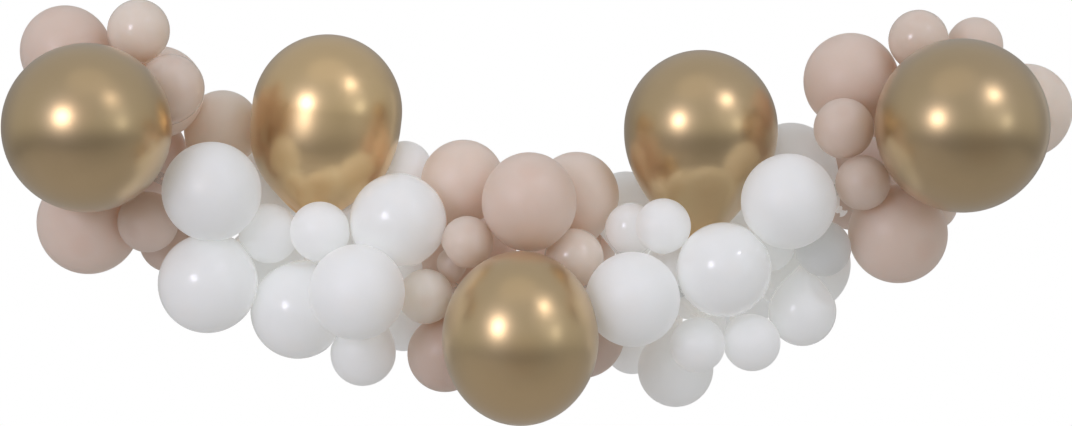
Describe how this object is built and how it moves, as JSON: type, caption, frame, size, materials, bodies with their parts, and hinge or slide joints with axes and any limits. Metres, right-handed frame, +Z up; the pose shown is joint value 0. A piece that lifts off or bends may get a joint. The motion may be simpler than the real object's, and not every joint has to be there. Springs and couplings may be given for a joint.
{
  "type": "balloon garland",
  "caption": "Swag of gold chrome, blush and white latex balloons tied along a clear plastic strip, hung by the holed tab at each end.",
  "frame": {"origin": "middle of the flat back face of the strip's left tab, beside its hole", "axes": "+X along the garland to its right end, +Y away from the viewer to what it is fixed to, +Z up"},
  "size_m": [2.1454, 0.7576, 0.8477],
  "materials": {
    "gold_latex": "gold chrome latex, soft mirror",
    "blush_latex": "satin latex, slightly translucent",
    "white_latex": "satin latex, slightly translucent",
    "clear_plastic": "clear moulded strip"
  },
  "bodies": {
    "root": {"blush_balloon_01": "blush_latex", "blush_balloon_02": "blush_latex", "blush_balloon_03": "blush_latex", "blush_balloon_04": "blush_latex", "blush_balloon_05": "blush_latex", "blush_balloon_06": "blush_latex", "blush_balloon_07": "blush_latex", "blush_balloon_08": "blush_latex", "blush_balloon_09": "blush_latex", "blush_balloon_10": "blush_latex", "blush_balloon_11": "blush_latex", "blush_balloon_12": "blush_latex", "blush_balloon_13": "blush_latex", "blush_balloon_14": "blush_latex", "blush_balloon_15": "blush_latex", "blush_balloon_16": "blush_latex", "blush_balloon_17": "blush_latex", "blush_balloon_18": "blush_latex", "blush_balloon_19": "blush_latex", "blush_balloon_20": "blush_latex", "blush_balloon_21": "blush_latex", "blush_balloon_22": "blush_latex", "blush_balloon_23": "blush_latex", "blush_balloon_24": "blush_latex", "blush_balloon_25": "blush_latex", "blush_balloon_26": "blush_latex", "blush_balloon_27": "blush_latex", "clear_strip": "clear_plastic", "gold_balloon_01": "gold_latex", "gold_balloon_02": "gold_latex", "gold_balloon_03": "gold_latex", "gold_balloon_04": "gold_latex", "gold_balloon_05": "gold_latex", "white_balloon_01": "white_latex", "white_balloon_02": "white_latex", "white_balloon_03": "white_latex", "white_balloon_04": "white_latex", "white_balloon_05": "white_latex", "white_balloon_06": "white_latex", "white_balloon_07": "white_latex", "white_balloon_08": "white_latex", "white_balloon_09": "white_latex", "white_balloon_10": "white_latex", "white_balloon_11": "white_latex", "white_balloon_12": "white_latex", "white_balloon_13": "white_latex", "white_balloon_14": "white_latex", "white_balloon_15": "white_latex", "white_balloon_16": "white_latex", "white_balloon_17": "white_latex", "white_balloon_18": "white_latex", "white_balloon_19": "white_latex", "white_balloon_20": "white_latex", "white_balloon_21": "white_latex", "white_balloon_22": "white_latex", "white_balloon_23": "white_latex", "white_balloon_24": "white_latex", "white_balloon_25": "white_latex", "white_balloon_26": "white_latex", "white_balloon_27": "white_latex"}
  },
  "joints": []
}
